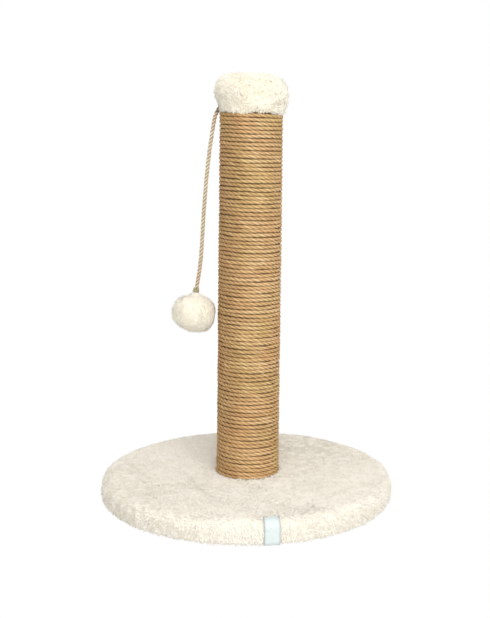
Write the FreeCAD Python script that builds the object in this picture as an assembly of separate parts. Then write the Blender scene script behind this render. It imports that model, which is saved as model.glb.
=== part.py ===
"""Cat scratching post: a plush-covered round base, a rope-wound post, a padded cap and a hanging ball.

Millimetres, +Z up. The origin is the centre of the base's underside, the ball hangs on the -X side,
and the label is on the -Y side.
"""

import FreeCAD, Part
import math
import os

from FreeCAD import Placement, Rotation, Vector

# Base
base_diameter = 400.0
board_thickness = 18.0
board_edge_round = 3.0
wadding_thickness = 7.0
cover_thickness = 7.0
cover_fit = 0.3
cover_pressed = 3.0
rim_top_round = 12.0
rim_bottom_round = 7.0
hem_thickness = 2.0
hem_width = 30.0
backing_thickness = 1.0
backing_overlap = 20.0
backing_hole_diameter = 34.0
label_width = 20.0
label_thickness = 0.4
label_gap = 0.15
label_on_top = 3.0
label_under = 2.0
label_turn = 9.0

# Post
tube_diameter = 75.0
tube_wall = 4.0
tube_length = 517.0
plug_thickness = 22.0
plug_fit = 0.15
post_fit = 0.4

# Rope winding
rope_diameter = 4.9
rope_gap = 0.5
rope_seat = 0.25
rope_butt = 0.4
rope_piece_count = 4
rope_first_turn = 90.0
bare_tube_top = 15.0

# Fasteners
bolt_diameter = 8.0
bolt_head_flats = 13.0
bolt_head_height = 5.3
bolt_past_nut = 1.0
bolt_hole_fit = 0.4
washer_diameter = 24.0
washer_thickness = 2.0
counterbore_depth = 9.0
counterbore_fit = 1.0
nut_flange_diameter = 22.0
nut_flange_thickness = 1.5
nut_barrel_diameter = 10.0
nut_barrel_length = 11.0
nut_fit = 0.1
nut_prongs = 4
prong_length = 6.0
prong_width = 3.0
prong_thickness = 1.0
nail_diameter = 1.8
nail_length = 16.0
nail_head_diameter = 4.5
nail_head_thickness = 1.0
nails_per_plug = 6
nail_from_plug_face = 6.0
staple_width = 10.0
staple_leg = 9.0
staple_wire_width = 1.2
staple_wire_thickness = 0.7
driven_fit = 0.05
cover_staple_count = 24
cap_staple_count = 12

# Cap
cap_height = 55.3
cap_overhang = 8.4
cap_belly_rise = 27.7
cap_crown_radius = 33.0
cap_crown_drop = 3.6
cap_shoulder_fullness = 0.167
cap_side_fullness = 0.167
cap_cover_thickness = 4.5
cap_hem_overhang = 4.3
cap_hem_round = 2.2
cap_hem_below_rope = 2.6
cap_skirt_gap = 0.5
cap_ring_height = 9.3
cap_fit = 0.3

# Toy
cord_diameter = 5.0
cord_seat = 0.3
cord_joint_gap = 0.3
cord_channel_gap = 0.4
cord_staple_gap = 0.3
cord_tail_top = 1.0
cord_bend_share = 0.45
ball_diameter = 60.8
ball_height_above = 24.5
ball_height_below = 25.3
ball_upper_fullness = 0.22
ball_lower_fullness = 0.21
ball_shell = 5.0
ball_fit = 0.3
ball_neck_diameter = 8.8
ball_neck_height = 4.5
ball_neck_straight = 1.5
ball_neck_flare = 4.0
ball_neck_hollow = 0.8
ball_neck_hole_fit = 0.3
tie_thread = 1.1
tie_turns = 4
tie_gap = 0.2
knot_diameter = 12.0
knot_drop = 23.5

# The hanging cord's route from the cap's hem to the ball: how far it stands out from the rope, and how far
# below the hem. The first point is where the cord leaves the cap, and the second is where it bends outward.
cord_route = [
    (6.45, 3.4),
    (10.35, 20.9),
    (14.15, 47.4),
    (18.35, 86.4),
    (21.55, 130.4),
    (23.75, 170.4),
    (26.35, 209.4),
    (29.8, 240.4),
]
# Where the cord comes out over the top turn of the rope, under the cap
cord_shoulder = (2.2, -4.2)
# Height of the cord's bend against the tube, above the hem
cord_bend_rise = 10.0

# How far a quarter circle's middle stands off its chord, as a share of its radius
quarter_rise = 1 - math.sqrt(0.5)

# Heights and radii that follow from the sizes above
hem_bottom = backing_thickness
board_bottom = hem_bottom + hem_thickness
board_top = board_bottom + board_thickness
base_top = board_top + wadding_thickness + cover_thickness
post_bottom = board_top + cover_pressed
base_radius = base_diameter / 2
board_radius = base_radius - cover_thickness - cover_fit
hem_inner = board_radius - hem_width
tube_radius = tube_diameter / 2
plug_radius = tube_radius - tube_wall - plug_fit
tube_top = post_bottom + tube_length
rope_radius = tube_radius + rope_seat + rope_diameter / 2
post_radius = tube_radius + rope_seat + rope_diameter
post_hole = post_radius + post_fit
rope_pitch = rope_diameter + rope_gap
rope_start = post_bottom + rope_seat + rope_diameter / 2
rope_top = tube_top - bare_tube_top
rope_end = rope_top - rope_diameter / 2
turns_per_length = (rope_end - rope_start) / rope_pitch / rope_piece_count
hem_height = rope_top - cap_hem_below_rope
cap_top = hem_height + cap_height
cap_belly = post_radius + cap_overhang
cap_belly_height = hem_height + cap_belly_rise
cap_hem_radius = post_radius + cap_hem_overhang
ring_bottom = rope_top + cap_skirt_gap
ring_top = ring_bottom + cap_ring_height
cord_radius = cord_diameter / 2
ball_radius = ball_diameter / 2


def polar(radius, degrees, z):
    """The point at a radius, an angle about the post's axis and a height."""
    turn = math.radians(degrees)
    return Vector(radius * math.cos(turn), radius * math.sin(turn), z)


def in_profile(point):
    """A (radius, height) pair as a point of the half plane that is turned about the axis."""
    return Vector(point[0], 0, point[1])


def bulge(start, end, height):
    """An arc between two profile points, bulging by height to the left of the way from start to end."""
    a = in_profile(start)
    b = in_profile(end)
    way = b - a
    side = Vector(-way.z, 0, way.x).normalize()
    middle = (a + b) * 0.5 + side * height
    return Part.Arc(a, middle, b).toShape()


def line(start, end):
    """A straight edge between two profile points."""
    return Part.LineSegment(in_profile(start), in_profile(end)).toShape()


def outline(first, steps):
    """Profile edges through the steps: a pair is a straight run's end, and a third number bulges an arc."""
    edges = []
    here = first
    for step in steps:
        there = (step[0], step[1])
        if len(step) == 3:
            edges.append(bulge(here, there, step[2]))
        else:
            edges.append(line(here, there))
        here = there
    edges.append(line(here, first))
    return edges


def turned(first, steps, degrees=360):
    """The solid of a closed profile turned about the Z axis."""
    face = Part.Face(Part.Wire(outline(first, steps)))
    solid = face.revolve(Vector(0, 0, 0), Vector(0, 0, 1), degrees)
    return solid


def ring(inner, outer, bottom, top):
    """A flat ring or a sleeve about the Z axis."""
    return turned((inner, bottom), [(outer, bottom), (outer, top), (inner, top)])


def disc(radius, bottom, top):
    """A disc about the Z axis."""
    return Part.makeCylinder(radius, top - bottom, Vector(0, 0, bottom))


def staple(width, leg, grow=0.0):
    """A staple with its crown along X at the origin and its legs along +Z, or its slot when grown."""
    thickness = staple_wire_thickness + 2 * grow
    depth = staple_wire_width + 2 * grow
    crown = Part.makeBox(width + 2 * grow, depth, thickness)
    crown.translate(Vector(-width / 2 - grow, -depth / 2, -grow))
    shape = crown
    for side in (-1, 1):
        upright = Part.makeBox(thickness, depth, leg + 2 * grow)
        middle = side * (width - staple_wire_thickness) / 2
        upright.translate(Vector(middle - thickness / 2, -depth / 2, -grow))
        shape = shape.fuse(upright)
    return shape.removeSplitter()


def driven_inward(shape, radius, degrees, z):
    """Places a shape whose +Z is its driving direction, pointing at the axis from a radius."""
    inward = Rotation(Vector(0, 1, 0), -90) * Rotation(Vector(0, 0, 1), 90)
    turn = Rotation(Vector(0, 0, 1), degrees) * inward
    return shape.transformGeometry(Placement(polar(radius, degrees, z), turn).toMatrix())


def even_turns(count, first=0.0):
    """Angles of copies spaced evenly about the axis."""
    return [first + 360.0 * i / count for i in range(count)]


def rim_profile(inset):
    """The base cover's outer profile from its flat top to its underside, moved inward by inset."""
    radius = base_radius - inset
    top = base_top - inset
    bottom = hem_bottom + inset
    upper = rim_top_round - inset
    lower = rim_bottom_round - inset
    return [
        (radius - upper, top),
        (radius, top - upper, upper * quarter_rise),
        (radius, bottom + lower),
        (radius - lower, bottom, lower * quarter_rise),
    ]


def cover_staple_places():
    """Placements of the staples that hold the cover's hem to the board from below."""
    radius = hem_inner + backing_overlap / 2
    places = []
    for degrees in even_turns(cover_staple_count):
        turn = Rotation(Vector(0, 0, 1), degrees + 90)
        places.append(Placement(polar(radius, degrees, hem_bottom + driven_fit), turn))
    return places


def cover_staples(grow=0.0):
    one = staple(staple_width, staple_leg, grow)
    return [one.transformGeometry(place.toMatrix()) for place in cover_staple_places()]


def base_board():
    """Round board with the bolt's hole and a counterbore for its head on the underside."""
    board = disc(board_radius, board_bottom, board_top)
    rims = [edge for edge in board.Edges if edge.Length > board_radius and len(edge.Vertexes) == 1]
    board = board.makeFillet(board_edge_round, rims)
    counterbore = washer_diameter / 2 + counterbore_fit
    board = board.cut(disc(bolt_diameter / 2 + bolt_hole_fit, board_bottom, board_top))
    board = board.cut(disc(counterbore, board_bottom, board_bottom + counterbore_depth))
    return board.cut(cover_staples(driven_fit))


def base_wadding():
    """Soft sheet between the board and the cover, cut out where the post stands."""
    outer = board_radius - cover_fit
    shoulder = wadding_thickness - 2 * cover_fit
    top = board_top + wadding_thickness - cover_fit
    drop = shoulder * quarter_rise
    return turned(
        (post_hole + cover_thickness, board_top),
        [
            (outer, board_top),
            (outer - shoulder, top, -drop),
            (post_hole + cover_thickness, top),
        ],
    )


def base_cover():
    """Plush cover over the top and rim, pressed flat under the post and turned under the board as a hem."""
    bolt_hole = bolt_diameter / 2 + bolt_hole_fit
    top_inside = board_top + wadding_thickness
    inner = board_radius + cover_fit
    shoulder = wadding_thickness
    drop = shoulder * quarter_rise
    well = post_hole + cover_thickness - cover_fit
    steps = [(bolt_hole, post_bottom), (post_hole, post_bottom), (post_hole, base_top)]
    steps += rim_profile(0.0)
    steps += [
        (hem_inner, hem_bottom),
        (hem_inner, board_bottom),
        (inner, board_bottom),
        (inner, board_top),
        (inner - shoulder, top_inside, -drop),
        (well, top_inside),
        (well, board_top),
    ]
    cover = turned((bolt_hole, board_top), steps)
    return cover.cut(cover_staples(driven_fit))


def base_backing():
    """Thin backing cloth over the hem, with a hole that leaves the bolt within reach."""
    return ring(backing_hole_diameter / 2, hem_inner + backing_overlap, 0, backing_thickness)


def side_label():
    """Blank ribbon laid round the rim, from the edge of the top to under the base."""
    inner = rim_profile(-label_gap)
    outer = rim_profile(-label_gap - label_thickness)
    upper = rim_top_round + label_gap
    lower = rim_bottom_round + label_gap
    start = (inner[0][0] - label_on_top, inner[0][1])
    steps = [
        (outer[0][0] - label_on_top, outer[0][1]),
        (outer[0][0], outer[0][1]),
        (outer[1][0], outer[1][1], outer[1][2]),
        (outer[2][0], outer[2][1]),
        (outer[3][0], outer[3][1], outer[3][2]),
        (outer[3][0] - label_under, outer[3][1]),
        (inner[3][0] - label_under, inner[3][1]),
        (inner[3][0], inner[3][1]),
        (inner[2][0], inner[2][1], -lower * quarter_rise),
        (inner[1][0], inner[1][1]),
        (inner[0][0], inner[0][1], -upper * quarter_rise),
    ]
    width = math.degrees(label_width / base_radius)
    strip = turned(start, steps, width)
    strip.rotate(Vector(0, 0, 0), Vector(0, 0, 1), label_turn - 90 - width / 2)
    return strip


def nail(grow=0.0):
    """A nail driven along +Z, with the head's outer face at the origin."""
    foot = Vector(0, 0, -grow)
    head = Part.makeCylinder(nail_head_diameter / 2 + grow, nail_head_thickness + 2 * grow, foot)
    shank = Part.makeCylinder(nail_diameter / 2 + grow, nail_length + 2 * grow, foot)
    return head.fuse(shank).removeSplitter()


def plug_nails(z, grow=0.0):
    """Nails through the tube into a plug, their heads just below the tube's surface."""
    half_head = nail_head_diameter / 2 + driven_fit
    flush = math.sqrt(tube_radius**2 - half_head**2) - driven_fit
    one = nail(grow)
    angles = even_turns(nails_per_plug, 360 / nails_per_plug / 2)
    return [driven_inward(one, flush, degrees, z) for degrees in angles]


bottom_nail_height = post_bottom + plug_thickness - nail_from_plug_face
top_nail_height = tube_top - plug_thickness + nail_from_plug_face


def cap_staples(grow=0.0):
    """Staples through the cap's gathered ring into the tube and the top plug."""
    one = staple(staple_width, staple_leg, grow)
    height = (ring_bottom + ring_top) / 2
    radius = tube_radius + cap_fit + cap_cover_thickness
    angles = even_turns(cap_staple_count, 360 / cap_staple_count / 2)
    return [driven_inward(one, radius, degrees, height) for degrees in angles]


def cord_staple(grow=0.0):
    """Staple over the cord's tail, into the tube."""
    inside = cord_diameter + 2 * cord_staple_gap
    width = inside + 2 * staple_wire_thickness
    radius = tube_radius + cord_seat + cord_diameter + cord_staple_gap + staple_wire_thickness
    leg = staple_leg + cord_diameter
    one = staple(width, leg, grow)
    tail_bottom = hem_height + cord_bend_rise
    tail_top = tube_top - cord_tail_top
    return driven_inward(one, radius, 180, (tail_bottom + tail_top) / 2)


def post_tube():
    """Cardboard tube with the holes that the nails and staples make."""
    tube = ring(tube_radius - tube_wall, tube_radius, post_bottom, tube_top)
    holes = plug_nails(bottom_nail_height, driven_fit) + plug_nails(top_nail_height, driven_fit)
    holes += cap_staples(driven_fit)
    holes.append(cord_staple(driven_fit))
    return tube.cut(holes)


def nut_prong_shapes(grow=0.0):
    """The nut's prongs, hanging from its flange into the plug."""
    radius = (nut_barrel_diameter + nut_flange_diameter) / 4
    flange_bottom = post_bottom + plug_thickness
    prongs = []
    for degrees in even_turns(nut_prongs):
        thickness = prong_thickness + 2 * grow
        width = prong_width + 2 * grow
        length = prong_length + grow
        corner = Vector(radius - thickness / 2, -width / 2, flange_bottom - length)
        prong = Part.makeBox(thickness, width, length, corner)
        prong.rotate(Vector(0, 0, 0), Vector(0, 0, 1), degrees)
        prongs.append(prong)
    return prongs


def bottom_plug():
    """Wooden plug in the tube's foot, bored for the nut and the bolt."""
    plug = disc(plug_radius, post_bottom, post_bottom + plug_thickness)
    bore = disc(nut_barrel_diameter / 2 + nut_fit, post_bottom, post_bottom + plug_thickness)
    holes = [bore] + plug_nails(bottom_nail_height, driven_fit) + nut_prong_shapes(nut_fit)
    return plug.cut(holes)


def top_plug():
    """Wooden plug in the tube's top."""
    plug = disc(plug_radius, tube_top - plug_thickness, tube_top)
    holes = plug_nails(top_nail_height, driven_fit) + cap_staples(driven_fit)
    holes.append(cord_staple(driven_fit))
    return plug.cut(holes)


def t_nut():
    """Flanged nut on top of the bottom plug, its barrel in the plug's bore."""
    flange_bottom = post_bottom + plug_thickness
    flange_top = flange_bottom + nut_flange_thickness
    barrel_bottom = flange_bottom - nut_barrel_length
    flange = disc(nut_flange_diameter / 2, flange_bottom, flange_top)
    barrel = disc(nut_barrel_diameter / 2, barrel_bottom, flange_bottom)
    nut = flange.fuse([barrel] + nut_prong_shapes())
    thread = disc(bolt_diameter / 2 + nut_fit, barrel_bottom, flange_top)
    return nut.cut(thread).removeSplitter()


washer_top = board_bottom + counterbore_depth
head_top = washer_top - washer_thickness


def post_bolt():
    """Hexagon bolt from below the board up into the nut."""
    corner = bolt_head_flats / 2 / math.cos(math.radians(30))
    corners = [polar(corner, degrees, head_top - bolt_head_height) for degrees in even_turns(6)]
    hexagon = Part.Face(Part.makePolygon(corners + corners[:1]))
    head = hexagon.extrude(Vector(0, 0, bolt_head_height))
    bolt_end = post_bottom + plug_thickness + nut_flange_thickness + bolt_past_nut
    shank = disc(bolt_diameter / 2, head_top, bolt_end)
    return head.fuse(shank).removeSplitter()


def bolt_washer():
    return ring(bolt_diameter / 2 + nut_fit, washer_diameter / 2, head_top, washer_top)


def corner_arc(before, corner, after):
    """The arc that rounds a corner whose two legs are equally long."""
    back = (before - corner).normalize()
    ahead = (after - corner).normalize()
    leg = (before - corner).Length
    half = back.getAngle(ahead) / 2
    inward = (back + ahead).normalize()
    middle = corner + inward * (leg / math.cos(half) - leg * math.tan(half))
    return Part.Arc(before, middle, after).toShape()


def helix_point(degrees, z):
    """A point of the left-handed winding, which rises clockwise, and the rope's direction there."""
    point = polar(rope_radius, degrees, z)
    circle = 2 * math.pi * rope_radius
    turn = math.radians(degrees)
    direction = Vector(math.sin(turn) * circle, -math.cos(turn) * circle, rope_pitch)
    return point, direction.normalize()


def biarc(start, leaving, end, arriving):
    """Two equal tangent arcs that join two points of the winding in their directions."""
    across = end - start
    both = leaving + arriving
    a = 2 * leaving.dot(arriving) - 2
    b = -2 * across.dot(both)
    c = across.dot(across)
    leg = (-b - math.sqrt(b * b - 4 * a * c)) / (2 * a)
    first_corner = start + leaving * leg
    second_corner = end - arriving * leg
    joint = (first_corner + second_corner) * 0.5
    return [corner_arc(start, first_corner, joint), corner_arc(joint, second_corner, end)]


def rope_path(index):
    """One rope length's centre line: a straight end, biarcs of a quarter turn, and a straight end."""
    setback = math.degrees(math.atan((rope_diameter + rope_butt) / rope_radius))
    whole = 360 * turns_per_length
    first = whole * index + setback
    last = whole * (index + 1) - setback
    quarters = math.ceil((last - first) / 90)
    edges = []
    places = []
    for step in range(quarters + 1):
        gone = first + (last - first) * step / quarters
        places.append(helix_point(rope_first_turn - gone, rope_start + rope_pitch * gone / 360))
    start, leaving = places[0]
    edges.append(Part.LineSegment(start - leaving * rope_diameter, start).toShape())
    for (here, going), (there, arriving) in zip(places, places[1:]):
        edges += biarc(here, going, there, arriving)
    end, arriving = places[-1]
    edges.append(Part.LineSegment(end, end + arriving * rope_diameter).toShape())
    return edges


def swept(edges, diameter, direction):
    """A round tube along a path of lines and tangent arcs."""
    path = Part.Wire(edges)
    start = edges[0].Vertexes[0].Point
    section = Part.Wire(Part.Circle(start, direction, diameter / 2).toShape())
    return path.makePipeShell([section], True, False)


def report_tube(name, solid, edges, diameter):
    """Prints a tube's volume against its section times its length."""
    length = sum(edge.Length for edge in edges)
    expected = math.pi * diameter**2 / 4 * length
    print(f"{name}: length {length:.1f} mm, volume {solid.Volume:.1f}, section times length {expected:.1f}")


def report_gap(name, edges):
    """Prints the least gap between one turn of a winding and the next, measured on points."""
    points = []
    for edge in edges[1:-1]:
        points += edge.discretize(4)[:-1]
    per_turn = len(points) // math.ceil(turns_per_length)
    half = per_turn // 2
    least = min(
        (points[i] - points[j]).Length
        for i in range(0, len(points), 2)
        for j in range(i + half, min(i + 2 * per_turn, len(points)))
    )
    print(f"{name}: least gap to itself {least - rope_diameter:.2f} mm")


def rope_winding(index):
    """One length of rope wound round the tube, left-handed."""
    edges = rope_path(index)
    start = edges[0].Vertexes[0].Point
    ahead = edges[0].Vertexes[1].Point
    solid = swept(edges, rope_diameter, ahead - start)
    name = f"rope_winding_{index + 1}"
    report_tube(name, solid, edges, rope_diameter)
    report_gap(name, edges)
    return solid


def dome_bulge(radius, drop):
    """The bulge of a profile arc from a dome's edge to its top, for a dome that is part of a sphere."""
    sphere = (radius**2 + drop**2) / (2 * drop)
    half_chord = math.hypot(radius, drop) / 2
    return sphere - math.sqrt(sphere**2 - half_chord**2)


def cap_inside(inset):
    """The cap's profile from its belly up to its top on the axis, moved inward by inset."""
    crown = cap_crown_radius - inset / 2
    belly = cap_belly - inset
    belly_height = cap_belly_height
    crown_height = cap_top - cap_crown_drop - inset
    across = math.hypot(belly - crown, crown_height - belly_height)
    return {
        "belly": (belly, belly_height),
        "crown": (crown, crown_height),
        "top": (0, cap_top - inset),
        "shoulder_bulge": across * cap_shoulder_fullness,
        "crown_bulge": dome_bulge(crown, cap_crown_drop),
    }


def cap_cover():
    """Plush cap cover: crowned, fullest at its belly, drawn in at the hem and gathered onto the tube."""
    outer = cap_inside(0.0)
    inner = cap_inside(cap_cover_thickness)
    side_bulge = cap_overhang * cap_side_fullness
    inner_ring = cap_hem_radius - cap_cover_thickness + side_bulge
    steps = [
        outer["crown"] + (outer["crown_bulge"],),
        outer["belly"] + (outer["shoulder_bulge"],),
        (cap_hem_radius, hem_height + cap_hem_round, side_bulge),
        (cap_hem_radius - cap_hem_round, hem_height, cap_hem_round * quarter_rise),
        (post_radius + cap_skirt_gap, hem_height),
        (post_radius + cap_skirt_gap, ring_bottom),
        (tube_radius + cap_fit, ring_bottom),
        (tube_radius + cap_fit, ring_top),
        (inner_ring, ring_top),
        inner["belly"] + (-side_bulge,),
        inner["crown"] + (-inner["shoulder_bulge"],),
        inner["top"] + (-inner["crown_bulge"],),
    ]
    cover = turned(outer["top"], steps)
    return cover.cut(cap_staples(driven_fit) + [cord_channel(), cord_staple(driven_fit)])


def cap_padding():
    """Fibre filling that fills the cap over the tube's top."""
    inner = cap_inside(cap_cover_thickness + cap_fit)
    side_bulge = cap_overhang * cap_side_fullness
    foot = ring_top + cap_fit
    foot_radius = cap_hem_radius - cap_cover_thickness - cap_fit + side_bulge
    steps = [
        inner["crown"] + (inner["crown_bulge"],),
        inner["belly"] + (inner["shoulder_bulge"],),
        (foot_radius, foot, side_bulge),
        (tube_radius + cap_fit, foot),
        (tube_radius + cap_fit, tube_top),
        (0, tube_top),
    ]
    padding = turned(inner["top"], steps)
    return padding.cut([cord_channel(), cord_staple(driven_fit)])


def on_route(point):
    """A route point, given by its distance out from the rope and its drop below the hem."""
    return Vector(-post_radius - point[0], 0, hem_height - point[1])


def cord_line(points, name=None):
    """Straight runs joined by tangent arcs, each as large as its two runs allow."""
    edges = []
    here = points[0]
    for before, corner, after in zip(points, points[1:], points[2:]):
        shorter = min((corner - before).Length, (after - corner).Length)
        leg = cord_bend_share * shorter
        arc_start = corner + (before - corner).normalize() * leg
        arc_end = corner + (after - corner).normalize() * leg
        arc = corner_arc(arc_start, corner, arc_end)
        edges.append(Part.LineSegment(here, arc_start).toShape())
        edges.append(arc)
        if name:
            print(f"{name}: bend radius {arc.Curve.Radius:.1f} mm")
        here = arc_end
    edges.append(Part.LineSegment(here, points[-1]).toShape())
    return edges


def cord_tube(name, points, diameter=cord_diameter):
    """A cord stretch as a plain round tube."""
    edges = cord_line(points, name)
    solid = swept(edges, diameter, points[1] - points[0])
    if name:
        report_tube(name, solid, edges, diameter)
    return solid


def short_of(point, before, distance):
    """A point that stops a run a little short of its end."""
    return point + (before - point).normalize() * distance


route = [on_route(point) for point in cord_route]
exit_point = route[0]
bend_point = route[1]
neck_point = route[-1]
ball_axis = (route[-1] - route[-2]).normalize()
pivot_clear = cord_radius + cord_joint_gap


def tail_points():
    """Corners of the cord's fixed end: down the tube under the cap, then out over the rope's top turn."""
    against_tube = -tube_radius - cord_seat - cord_radius
    top = Vector(against_tube, 0, tube_top - cord_tail_top)
    bend = Vector(against_tube, 0, hem_height + cord_bend_rise)
    return [top, bend, on_route(cord_shoulder), exit_point]


def cord_tail():
    """The cord's fixed end, which stops short of the first pivot."""
    points = tail_points()
    points[-1] = short_of(exit_point, points[-2], pivot_clear)
    return cord_tube("toy_cord_tail", points)


def cord_channel():
    """The channel round the cord's fixed end in the cap: square boxes with round corners."""
    half = cord_radius + cord_channel_gap
    points = tail_points()
    points[0] = points[0] + Vector(0, 0, cord_channel_gap)
    channel = None
    for start, end in zip(points, points[1:]):
        run = end - start
        box = Part.makeBox(2 * half, 2 * half, run.Length, Vector(-half, -half, 0))
        box = box.transformGeometry(Placement(start, Rotation(Vector(0, 0, 1), run)).toMatrix())
        channel = channel.fuse(box) if channel else box
    for corner in points[1:-1]:
        foot = corner - Vector(0, half, 0)
        channel = channel.fuse(Part.makeCylinder(half, 2 * half, foot, Vector(0, 1, 0)))
    return channel.removeSplitter()


def cord_upper():
    """The short stretch below the cap, which swings to the sides about its round upper end."""
    tube = cord_tube("toy_cord_upper", [exit_point, short_of(bend_point, exit_point, pivot_clear)])
    return tube.fuse(Part.makeSphere(cord_radius, exit_point)).removeSplitter()


def cord_drop():
    """The long stretch down to the ball, which swings in and out about its round upper end."""
    end = short_of(neck_point, route[-2], cord_joint_gap / 2)
    tube = cord_tube("toy_cord_drop", route[1:-1] + [end])
    return tube.fuse(Part.makeSphere(cord_radius, bend_point)).removeSplitter()


def on_cord(shape):
    """Moves a ball piece from its own axis, with the neck's top at the origin, onto the cord's end."""
    turn = Rotation(Vector(0, 0, -1), ball_axis)
    return shape.transformGeometry(Placement(neck_point, turn).toMatrix())


neck_radius = ball_neck_diameter / 2
ball_middle = -ball_neck_height - ball_height_above


def ball_profile(inset):
    """The ball's profile from its shoulder at the neck to its lowest point, moved inward by inset."""
    shoulder_radius = neck_radius + ball_neck_flare
    side = ball_radius - inset
    above = ball_height_above - inset
    below = ball_height_below - inset
    upper = math.hypot(side - shoulder_radius, above)
    lower = math.hypot(side, below)
    return {
        "shoulder": (shoulder_radius, ball_middle + above),
        "side": (side, ball_middle),
        "bottom": (0, ball_middle - below),
        "upper_bulge": upper * ball_upper_fullness,
        "lower_bulge": lower * ball_lower_fullness,
    }


def ball_cover():
    """Plush skin of the ball, round and full, with a gathered neck about the cord."""
    outer = ball_profile(0.0)
    inner = ball_profile(ball_shell)
    hole = cord_radius + ball_neck_hole_fit
    steps = [
        (neck_radius, 0),
        (neck_radius, -ball_neck_straight),
        outer["shoulder"] + (-ball_neck_hollow,),
        outer["side"] + (outer["upper_bulge"],),
        outer["bottom"] + (outer["lower_bulge"],),
        inner["bottom"],
        inner["side"] + (-inner["lower_bulge"],),
        inner["shoulder"] + (-inner["upper_bulge"],),
        (hole, inner["shoulder"][1]),
    ]
    return on_cord(turned((hole, 0), steps))


def knot_shape(grow=0.0):
    """The cord's end inside the ball, with its knot."""
    top = -cord_joint_gap / 2 + grow
    stub = disc(cord_radius + grow, -knot_drop, top)
    knot = Part.makeSphere(knot_diameter / 2 + grow, Vector(0, 0, -knot_drop))
    return stub.fuse(knot).removeSplitter()


def ball_stuffing():
    """Fibre filling inside the ball's skin, round the knot."""
    inner = ball_profile(ball_shell + ball_fit)
    steps = [
        inner["side"] + (inner["upper_bulge"],),
        inner["bottom"] + (inner["lower_bulge"],),
        (0, inner["shoulder"][1]),
    ]
    filling = turned(inner["shoulder"], steps)
    return on_cord(filling.cut(knot_shape(ball_fit)))


def cord_knot():
    return on_cord(knot_shape())


def ball_tie():
    """Thread whipped round the cord on top of the ball's neck, as a sleeve with a ridge for each turn."""
    inner_radius = cord_radius + tie_gap
    middle_radius = inner_radius + tie_thread / 2
    top = tie_gap + tie_turns * tie_thread
    steps = [(middle_radius, top)]
    for turn in range(tie_turns):
        steps.append((middle_radius, top - (turn + 1) * tie_thread, tie_thread / 2))
    steps.append((inner_radius, tie_gap))
    return on_cord(turned((inner_radius, top), steps))


def main():
    os.makedirs("parts", exist_ok=True)
    pieces = {
        "base_board": base_board(),
        "base_wadding": base_wadding(),
        "base_cover": base_cover(),
        "base_backing": base_backing(),
        "cover_staples": Part.makeCompound(cover_staples()),
        "side_label": side_label(),
        "post_tube": post_tube(),
        "bottom_plug": bottom_plug(),
        "top_plug": top_plug(),
        "bottom_plug_nails": Part.makeCompound(plug_nails(bottom_nail_height)),
        "top_plug_nails": Part.makeCompound(plug_nails(top_nail_height)),
        "t_nut": t_nut(),
        "post_bolt": post_bolt(),
        "bolt_washer": bolt_washer(),
        "cap_cover": cap_cover(),
        "cap_padding": cap_padding(),
        "cap_staples": Part.makeCompound(cap_staples()),
        "cord_staple": cord_staple(),
        "toy_cord_tail": cord_tail(),
        "toy_cord_upper": cord_upper(),
        "toy_cord_drop": cord_drop(),
        "ball_cover": ball_cover(),
        "ball_stuffing": ball_stuffing(),
        "cord_knot": cord_knot(),
        "ball_tie": ball_tie(),
    }
    for index in range(rope_piece_count):
        pieces[f"rope_winding_{index + 1}"] = rope_winding(index)
    for name, shape in pieces.items():
        if not shape.isValid():
            print(f"{name}: not a valid shape")
        shape.exportStep(f"parts/{name}.step")
    print(f"{len(pieces)} nodes, {turns_per_length:.2f} turns in each rope length")
    for name, point in (("exit", exit_point), ("bend", bend_point), ("neck", neck_point)):
        print(f"cord {name} at {point.x:.2f}, {point.y:.2f}, {point.z:.2f}")
    print(f"ball axis {ball_axis.x:.4f}, {ball_axis.y:.4f}, {ball_axis.z:.4f}")


main()
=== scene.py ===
"""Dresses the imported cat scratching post: plush pile, twisted rope, hanging toy, light and camera."""

import math

import bmesh
import bpy
import numpy as np
from mathutils import Matrix, Vector


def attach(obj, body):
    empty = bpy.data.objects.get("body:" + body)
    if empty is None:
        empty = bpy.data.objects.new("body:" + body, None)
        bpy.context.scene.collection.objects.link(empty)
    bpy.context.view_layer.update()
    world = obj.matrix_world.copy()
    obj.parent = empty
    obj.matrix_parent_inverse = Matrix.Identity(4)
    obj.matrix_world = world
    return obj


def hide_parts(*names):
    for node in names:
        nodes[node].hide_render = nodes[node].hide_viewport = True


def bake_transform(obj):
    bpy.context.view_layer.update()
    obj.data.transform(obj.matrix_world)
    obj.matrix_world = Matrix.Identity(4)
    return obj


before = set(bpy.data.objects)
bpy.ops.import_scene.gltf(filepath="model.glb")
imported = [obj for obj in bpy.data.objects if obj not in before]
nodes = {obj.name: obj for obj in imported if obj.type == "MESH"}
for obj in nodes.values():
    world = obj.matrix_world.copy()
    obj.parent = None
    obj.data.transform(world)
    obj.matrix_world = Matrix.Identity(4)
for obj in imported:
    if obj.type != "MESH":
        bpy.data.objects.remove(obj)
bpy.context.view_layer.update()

full_turn = 2 * math.pi

# Sizes that the solids have, in metres
base_radius = 0.2
base_top = 0.035
hem_bottom = 0.001
hem_inner = 0.1627
post_hole = 0.04305
post_bottom = 0.024
rope_pitch = 0.0054
rope_start = 0.0267
rope_turns = 92
rope_lengths = 4
label_turn = math.radians(9 - 90)
label_half = math.radians(2.87)
neck_point = Vector((-0.07245, 0, 0.283))
ball_axis = Vector((-0.1106, 0, -0.9939))
exit_point = Vector((-0.0491, 0, 0.52))

# The cord's route: its tail under the cap, its way out over the rope, and its drop to the ball's neck
cord_route = [(-0.0403, 0.54), (-0.0403, 0.5334), (-0.044, 0.5268), (-0.0484, 0.52), (-0.0513, 0.5025)]
cord_route += [(-0.0552, 0.476), (-0.0594, 0.437), (-0.0625, 0.393), (-0.0645, 0.353), (-0.0668, 0.314)]
cord_route.append((-0.07245, 0.283))


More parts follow.
